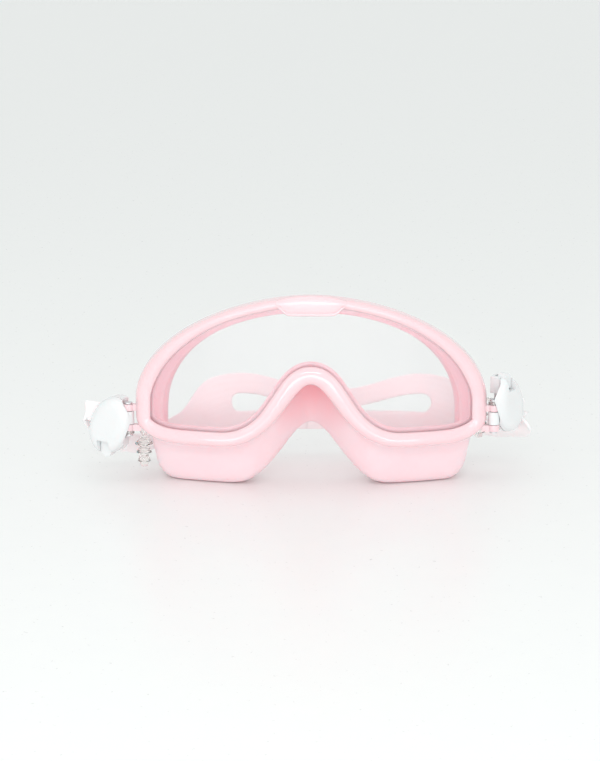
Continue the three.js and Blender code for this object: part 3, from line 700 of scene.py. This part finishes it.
def atBuckle(side, x, y, z):
    turn = side * sweepOf(side)
    px = side * x
    return place(side * hingeX + px * math.cos(turn) - y * math.sin(turn),
                 hingeY + px * math.sin(turn) + y * math.cos(turn), hingeSize["z"] + z)


def ovalRow(side, grow, y, count=48, shrink=1.0):
    b = buckleSize
    lean = math.radians(b["lean"])
    row = []
    for i in range(count):
        a = math.tau * i / count
        along, over = (b["long"] + grow) * math.cos(a) * shrink, (b["short"] + grow) * math.sin(a) * shrink
        row.append(atBuckle(side, b["reach"] - along * math.sin(lean) + over * math.cos(lean), y,
                            leverWay(side) * b["shift"] + along * math.cos(lean) + over * math.sin(lean)))
    return row


def boxAt(side, x0, x1, y0, y1, z0, z1):
    low = [(x0, z0), (x1, z0), (x1, z1), (x0, z1)]
    return capped([[atBuckle(side, x, y, z) for x, z in low] for y in (y0, y1)])


def makeCover(side):
    b = buckleSize
    name = sideName(side)
    back = b["front"] + b["gap"]
    shoulder = -back - b["shoulder"]
    rows = [ovalRow(side, 0, -back), ovalRow(side, 0, -back - b["edge"])]
    for i in range(7):
        a = math.pi / 2 * i / 6
        rows.append(ovalRow(side, -b["round"] - b["domeRun"] * (1 - math.cos(a)),
                            shoulder - b["dome"] * math.sin(a)))
    for shrink in (0.75, 0.45, 0.15):
        rows.append(ovalRow(side, -b["round"] - b["domeRun"], shoulder - b["dome"], shrink=shrink))
    cover = objectFrom(capped(rows), name + "_cover")
    subdivide(cover, 1)
    settle(cover)
    x, w, way = leverX(side), b["leverWidth"] / 2 + b["gap"], leverWay(side)
    # the lever's slot is open at the edge of the cover
    heights = sorted((way * (b["leverAxis"] + b["slotStart"]), way * 40))
    carve(cover, boxAt(side, x - w, x + w, -12, 5, *heights))
    hole = bmesh.new()
    radius = b["pinHole"] * 0.001
    bmesh.ops.create_cone(hole, cap_ends=True, segments=32, radius1=radius, radius2=radius, depth=0.06)
    bmesh.ops.translate(hole, verts=hole.verts, vec=place(side * hingeX, hingeY, hingeSize["z"]))
    carve(cover, hole)
    dress(cover, "white", name + "_buckle", [name + "_buckle_cover"], 38)


def makeSpring(side):
    # a rounded steel copy of the lever spring, baked where it stands
    b, name, x = buckleSize, sideName(side), leverX(side)
    spring = roundedCopy(name + "_lever_spring", name + "_lever_spring_made", "steel", None, 0.05)
    settle(spring)
    z = leverWay(side) * (b["leverAxis"] + b["springMiddle"])
    name + "_buckle"
    name + "_lever"
    atBuckle(side, x, b["springFoot"], z)
    atBuckle(side, x, b["springCrest"], z)
    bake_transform(spring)


for side in (-1, 1):
    name = sideName(side)
    makeCover(side)
    makeSpring(side)
    roundedCopy(name + "_buckle_base", name + "_base", "white", name + "_buckle", 0.3)
    roundedCopy(name + "_release_lever", name + "_lever", "white", name + "_lever", 0.35)
    for part, body in (("hinge_pin", "goggles_front"), ("lever_pin", name + "_buckle"),
                       ("strap_bar", name + "_buckle")):
        made = name + "_" + part.replace("_", "") + "_made"
        roundedCopy(name + "_" + part, made, "steel", body, 0.12)
print("buckles ready")


strapSize = {
    "thickness": 1.5, "tail": 9.6, "wide": 28, "slotHeight": 8.6, "slit": 0.4, "roll": 60,
    "clear": 31.5, "lead": 1.5, "widen": (0.285, 0.36, 0.722, 0.77), "slot": (0.375, 0.707), "columns": 300,
    "twist": (0.77, 0.85, 0.88, 0.94), "edge": (0, 0.3, 0.9), "leftBend": 19, "rightBend": 22, "bendEnd": 4,
}


def throat(side, reach):
    a = sweepOf(side)
    return Vector((side * (hingeX + reach * math.cos(a)), hingeY + reach * math.sin(a), hingeSize["z"]))


def strapKnots():
    b = buckleSize
    left, right, back = -hingeX, hingeX, hingeY + strapSize["clear"]
    lean = math.radians(b["lean"])
    edge = b["reach"] + math.hypot(b["long"] * math.sin(lean), b["short"] * math.cos(lean))
    straight = edge + strapSize["lead"]
    ends = (5, 14, straight, straight + 1.5)

    def depthAt(side, share):
        return mix(throat(side, ends[-1]).y, back, share)

    run = [(left - 18.5, depthAt(-1, 0.32), 25), (left - 12.5, depthAt(-1, 0.83), 15),
           (left + 3, back + 1, 10.5), (left + 23, back + 5, 20), (left + 44, back + 7.5, 29),
           (left + 78, back + 9, 29.5), (right - 62, back + 9, 29.5), (right - 27, back + 8, 29),
           (right - 10, back + 6, 23), (right + 3, back + 5, 16), (right + 11, back + 3, 15.5),
           (right + 15, depthAt(1, 0.8), 18), (right + 15.5, depthAt(1, 0.4), 24)]
    return [throat(-1, r) for r in ends] + [Vector(p) for p in run] + [throat(1, r) for r in reversed(ends)]


def splinePoints(knots, share):
    # centripetal curve through the knots
    n = len(knots)
    at = min(share * (n - 1), n - 1 - 1e-9)
    i = int(at)
    t = at - i
    p1, p2 = knots[i], knots[i + 1]
    p0 = knots[i - 1] if i else 2 * p1 - p2
    p3 = knots[i + 2] if i + 2 < n else 2 * p2 - p1
    d0, d1, d2 = ((b - a).length ** 0.5 for a, b in ((p0, p1), (p1, p2), (p2, p3)))
    m1 = ((p1 - p0) / d0 - (p2 - p0) / (d0 + d1) + (p2 - p1) / d1) * d1
    m2 = ((p2 - p1) / d1 - (p3 - p1) / (d1 + d2) + (p3 - p2) / d2) * d1
    return p1 + m1 * t + (-3 * p1 + 3 * p2 - 2 * m1 - m2) * t * t + (2 * p1 - 2 * p2 + m1 + m2) * t ** 3


strapDense = [splinePoints(strapKnots(), i / 2000) for i in range(2001)]
strapRun = [0.0]
for a, b in zip(strapDense, strapDense[1:]):
    strapRun.append(strapRun[-1] + (b - a).length)


def strapAt(share):
    want = max(0.0, min(1.0, share)) * strapRun[-1]
    low, high = 0, len(strapRun) - 1
    while high - low > 1:
        middle = (low + high) // 2
        if strapRun[middle] <= want:
            low = middle
        else:
            high = middle
    t = (want - strapRun[low]) / (strapRun[high] - strapRun[low])
    return strapDense[low].lerp(strapDense[high], t)


def strapSection(t):
    # centre, up and out directions, half height, and the low and high edge of the slot
    s = strapSize
    w, slot, turn = s["widen"], s["slot"], s["twist"]
    middle = (slot[0] + slot[1]) / 2
    dip = 1 - smooth(abs(t - middle), 0.01, (slot[1] - slot[0]) * 0.47)
    spread = smooth(t, w[0], w[1]) * (1 - smooth(t, w[2], w[3]))
    twist = math.radians(s["roll"]) * smooth(t, *turn[:2]) * (1 - smooth(t, *turn[2:]))
    sag = s["slotHeight"] - s["slit"]
    tangent = (strapAt(t + 0.002) - strapAt(t - 0.002)).normalized()
    up = Vector((0, 0, 1))
    up = (up - tangent * up.dot(tangent)).normalized()
    up = Matrix.Rotation(twist, 3, tangent) @ up
    out = tangent.cross(up).normalized()
    lift = -sag / 2 * dip
    half = (s["tail"] + (s["wide"] - s["tail"]) * spread - sag * dip) / 2
    end = max(0, min(1, (t - slot[0]) / 0.015, (slot[1] - t) / 0.015))
    hole = max(s["slit"], s["slotHeight"] * math.sqrt(end * (2 - end)) - sag * dip) / 2
    slotMiddle = -0.8 * (1 - dip)
    return strapAt(t) + up * lift, up, out, half, slotMiddle - hole, slotMiddle + hole


def makeStrapHalf(name, start, end, side):
    s = strapSize
    count = int(s["columns"] * (end - start))
    rows = 12
    bm = bmesh.new()
    bmesh.ops.create_grid(bm, x_segments=count, y_segments=rows, size=0.5)
    uvLayer = bm.loops.layers.uv.new("strip")
    creases = bm.edges.layers.float.new("crease_edge")
    spot = {}
    for v in bm.verts:
        u, k = round((v.co.x + 0.5) * count), round((v.co.y + 0.5) * rows)
        spot[v] = (u, k)
        t = mix(start, end, u / count)
        centre, up, out, half, low, high = strapSection(t)
        if k <= 5:
            across = -half + s["edge"][k] if k < 3 else mix(-half, low, (k - 2) / 3 * 0.9 + 0.1)
            across = low if k == 5 else min(across, low)
        elif k >= 7:
            across = half - s["edge"][12 - k] if k > 9 else mix(high, half, (k - 7) / 3 * 0.9)
            across = high if k == 7 else max(across, high)
        else:
            across = (low + high) / 2
        spot[v] += (across,)
        p = centre + up * across - out * (s["thickness"] / 2)
        v.co = place(p.x, p.y, p.z)
    for face in bm.faces:
        for loop in face.loops:
            u, k, across = spot[loop.vert]
            loop[uvLayer].uv = (mix(start, end, u / count) * strapRun[-1] / s["wide"], across / s["wide"])
    hole = []
    for face in bm.faces:
        us = [spot[v][0] for v in face.verts]
        ks = [spot[v][1] for v in face.verts]
        t = mix(start, end, sum(us) / 4 / count)
        if min(ks) >= 5 and max(ks) <= 7 and s["slot"][0] < t < s["slot"][1]:
            hole.append(face)
    bmesh.ops.delete(bm, geom=hole, context="FACES")
    bmesh.ops.recalc_face_normals(bm, faces=bm.faces)
    section = strapSection((start + end) / 2)
    centre = place(*section[0])
    near = min(bm.faces, key=lambda f: (f.calc_center_median() - centre).length)
    if near.normal.dot(section[2]) < 0:
        bmesh.ops.reverse_faces(bm, faces=bm.faces)
    bmesh.ops.solidify(bm, geom=bm.faces[:], thickness=-s["thickness"] * 0.001)
    bmesh.ops.recalc_face_normals(bm, faces=bm.faces)
    # a crease keeps the cut edge flat, so that the two halves meet
    seam = strapSection(0.5)
    seamAt, along = place(*seam[0]), seam[1].cross(seam[2])
    for edge in bm.edges:
        middle = (edge.verts[0].co + edge.verts[1].co) / 2
        if abs((middle - seamAt).dot(along)) < 2e-5 and abs(middle.x - seamAt.x) < 0.01:
            edge[creases] = 1.0
    strap = objectFrom(bm, name)
    subdivide(strap, 1)
    dress(strap, "strap", None, ["head_strap"], None)
    sideName(side) + "_buckle"
    place(side * hingeX, hingeY + s[sideName(side) + "Bend"], 30)
    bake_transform(strap)


makeStrapHalf("strap_left", 0.0, 0.5, -1)
makeStrapHalf("strap_right", 0.5, 1.0, 1)
print("strap ready")


plugSize = {"stem": 2.0, "flange": 4.3, "pitch": 4.1, "dropX": 6.3, "dropY": 8.8, "drop": 4.0, "gap": 0.3,
            "ring": 1.2}


def makePlug(side):
    s, h, name = plugSize, hingeSize, sideName(side)
    ringAt = h["z"] + leverWay(side) * (h["barrel"] / 2 + h["knuckleHeight"] + h["gap"]
                                        + (s["ring"] + 2 * s["gap"]) / 2)
    top = ringAt - s["drop"] - 2 * s["gap"]
    outline = [(0, 0), (s["stem"] * 0.7, 0), (s["stem"], -0.25)]
    for i in range(3):
        r, z = s["flange"] - 0.6 * i, -1.2 - s["pitch"] * i
        outline += [(s["stem"], z + 0.2), (s["stem"] + 0.25, z - 0.2), (mix(s["stem"], r, 0.6), z - 0.9),
                    (r - 0.1, z - 1.8), (r, z - 2.15), (r - 0.2, z - 2.5), (mix(s["stem"], r, 0.5), z - 2.1),
                    (s["stem"], z - 1.7)]
    tip = -1.2 - s["pitch"] * 3
    outline += [(s["stem"], tip), (s["stem"] * 0.7, tip - 0.9), (0, tip - 1.3)]
    bm = bmesh.new()
    x, y = side * (hingeX - s["dropX"]), hingeY + s["dropY"]
    line = [bm.verts.new(place(x + r, y, top + z)) for r, z in outline]
    edges = [bm.edges.new(pair) for pair in zip(line, line[1:])]
    bmesh.ops.spin(bm, geom=line + edges, cent=place(x, y, top), axis=(0, 0, 1), angle=math.tau, steps=32,
                   use_merge=True)
    bmesh.ops.remove_doubles(bm, verts=bm.verts, dist=1e-6)
    bmesh.ops.recalc_face_normals(bm, faces=bm.faces)
    plug = objectFrom(bm, name + "_plug_body")
    subdivide(plug, 1)
    dress(plug, "clear", name + "_plug", [name + "_ear_plug"], None)
    roundedCopy(name + "_ear_tether", name + "_tether", "clear", name + "_plug", 0.2)


makePlug(-1)
makePlug(1)
print("ear plugs ready")
